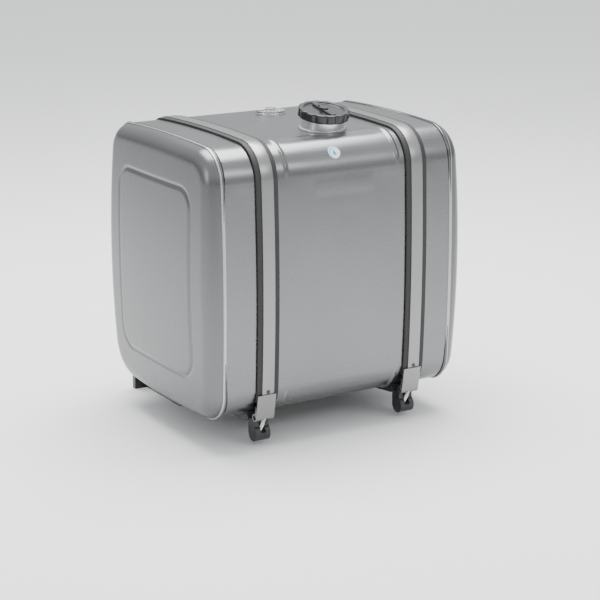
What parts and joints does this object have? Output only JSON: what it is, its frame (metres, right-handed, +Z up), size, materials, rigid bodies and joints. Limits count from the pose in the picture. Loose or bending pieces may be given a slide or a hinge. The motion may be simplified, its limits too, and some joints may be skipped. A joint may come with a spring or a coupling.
{
  "type": "fresh water tank",
  "caption": "Rounded aluminium water tank with pressed ends and a lobed filler cap, held on cast brackets by lined straps with T-bolts.",
  "frame": {"origin": "on the floor, under the middle of the whole object", "axes": "+X along the vessel towards its right end, +Y to the rear where the brackets bolt on, +Z up; the front with the T-bolts faces -Y"},
  "size_m": [0.69, 0.57, 0.7425],
  "materials": {
    "shell_aluminium": "brushed sheet, satin",
    "cap_aluminium": "pressed sheet, satin",
    "weld_aluminium": "rippled weld bead",
    "neck_aluminium": "turned, bright",
    "strap_steel": "rolled strip, satin",
    "bolt_zinc": "bright zinc plate",
    "fastener_dark": "blackened",
    "liner_rubber": "matt black",
    "bracket_iron": "black painted casting",
    "cap_plastic": "moulded, fine grain",
    "seal_rubber": "matt",
    "inner_steel": "plated pressing",
    "lock_brass": "machined",
    "float_plastic": "closed foam, matt",
    "plug_brass": "machined"
  },
  "bodies": {
    "vessel": {"tank_shell": "shell_aluminium", "end_cap_left": "cap_aluminium", "end_cap_right": "cap_aluminium", "end_weld_left": "weld_aluminium", "end_weld_right": "weld_aluminium", "baffle_left": "shell_aluminium", "baffle_right": "shell_aluminium", "filler_neck": "neck_aluminium", "neck_weld": "weld_aluminium", "sender_port_ring": "neck_aluminium", "sender_gasket": "seal_rubber", "sender_head": "inner_steel", "sender_screws": "inner_steel", "sender_stem": "inner_steel", "sender_stop": "inner_steel", "drain_boss": "neck_aluminium", "outlet_boss": "neck_aluminium", "strap_left": "strap_steel", "strap_right": "strap_steel", "strap_eye_left": "strap_steel", "strap_eye_right": "strap_steel", "strap_rivets": "fastener_dark", "strap_liner_left": "liner_rubber", "strap_liner_right": "liner_rubber", "t_bolt_left": "bolt_zinc", "t_bolt_right": "bolt_zinc", "bracket_left": "bracket_iron", "bracket_right": "bracket_iron", "bracket_pad_left": "liner_rubber", "bracket_pad_right": "liner_rubber", "anchor_pins": "bolt_zinc", "split_pins": "bolt_zinc"},
    "cap_seal": {"cap_gasket": "seal_rubber", "cap_seal_plate": "inner_steel", "cap_spring": "inner_steel"},
    "cap_top": {"cap_shell": "cap_plastic", "cap_bayonet": "inner_steel"},
    "cap_lock": {"lock_barrel": "lock_brass"},
    "cap_cover": {"key_cover": "cap_plastic"},
    "washer_left": {"strap_washer_left": "fastener_dark"},
    "nut_left": {"strap_nut_left": "fastener_dark"},
    "washer_right": {"strap_washer_right": "fastener_dark"},
    "nut_right": {"strap_nut_right": "fastener_dark"},
    "drain_ring": {"drain_washer": "seal_rubber"},
    "drain_screw": {"drain_plug": "plug_brass"},
    "level_float": {"sender_float": "float_plastic"}
  },
  "joints": [
    {"name": "cap_lift", "type": "slide", "parent": "vessel", "child": "cap_seal", "axis": [0, -0.1736, 0.9848], "range_m": [0, 0.09]},
    {"name": "cap_turn", "type": "hinge", "parent": "cap_seal", "child": "cap_top", "pos_m": [0.033, -0.141, 0.68608], "axis": [0, -0.1736, 0.9848], "range_deg": [-90, 0]},
    {"name": "lock_turn", "type": "hinge", "parent": "cap_top", "child": "cap_lock", "pos_m": [0.033, -0.14795, 0.72547], "axis": [0, -0.1736, 0.9848], "range_deg": [0, 90]},
    {"name": "cover_swing", "type": "hinge", "parent": "cap_top", "child": "cap_cover", "pos_m": [0.033, -0.12964, 0.73682], "axis": [0, -0.1736, 0.9848], "range_deg": [0, 100]},
    {"name": "nut_left_travel", "type": "slide", "parent": "vessel", "child": "washer_left", "axis": [0, 0.4768, -0.879], "range_m": [0, 0.006]},
    {"name": "nut_left_turn", "type": "hinge", "parent": "washer_left", "child": "nut_left", "pos_m": [-0.19, -0.26131, 0.07482], "axis": [0, 0.4768, -0.879], "range_deg": [0, 1440]},
    {"name": "nut_right_travel", "type": "slide", "parent": "vessel", "child": "washer_right", "axis": [0, 0.4768, -0.879], "range_m": [0, 0.006]},
    {"name": "nut_right_turn", "type": "hinge", "parent": "washer_right", "child": "nut_right", "pos_m": [0.2, -0.26131, 0.07482], "axis": [0, 0.4768, -0.879], "range_deg": [0, 1440]},
    {"name": "drain_travel", "type": "slide", "parent": "vessel", "child": "drain_ring", "axis": [0, 0, -1], "range_m": [0, 0.015]},
    {"name": "drain_turn", "type": "hinge", "parent": "drain_ring", "child": "drain_screw", "pos_m": [0, -0.024, 0.068], "axis": [0, 0, -1], "range_deg": [0, 3600]},
    {"name": "float_rise", "type": "slide", "parent": "vessel", "child": "level_float", "axis": [0, 0, 1], "range_m": [0, 0.526]}
  ],
  "couplings": [
    {"joint": "nut_left_turn", "follows": "nut_left_travel", "rad_per_m": 4188.8},
    {"joint": "nut_right_turn", "follows": "nut_right_travel", "rad_per_m": 4188.8},
    {"joint": "drain_travel", "follows": "drain_turn", "m_per_rad": 0.00023873}
  ]
}
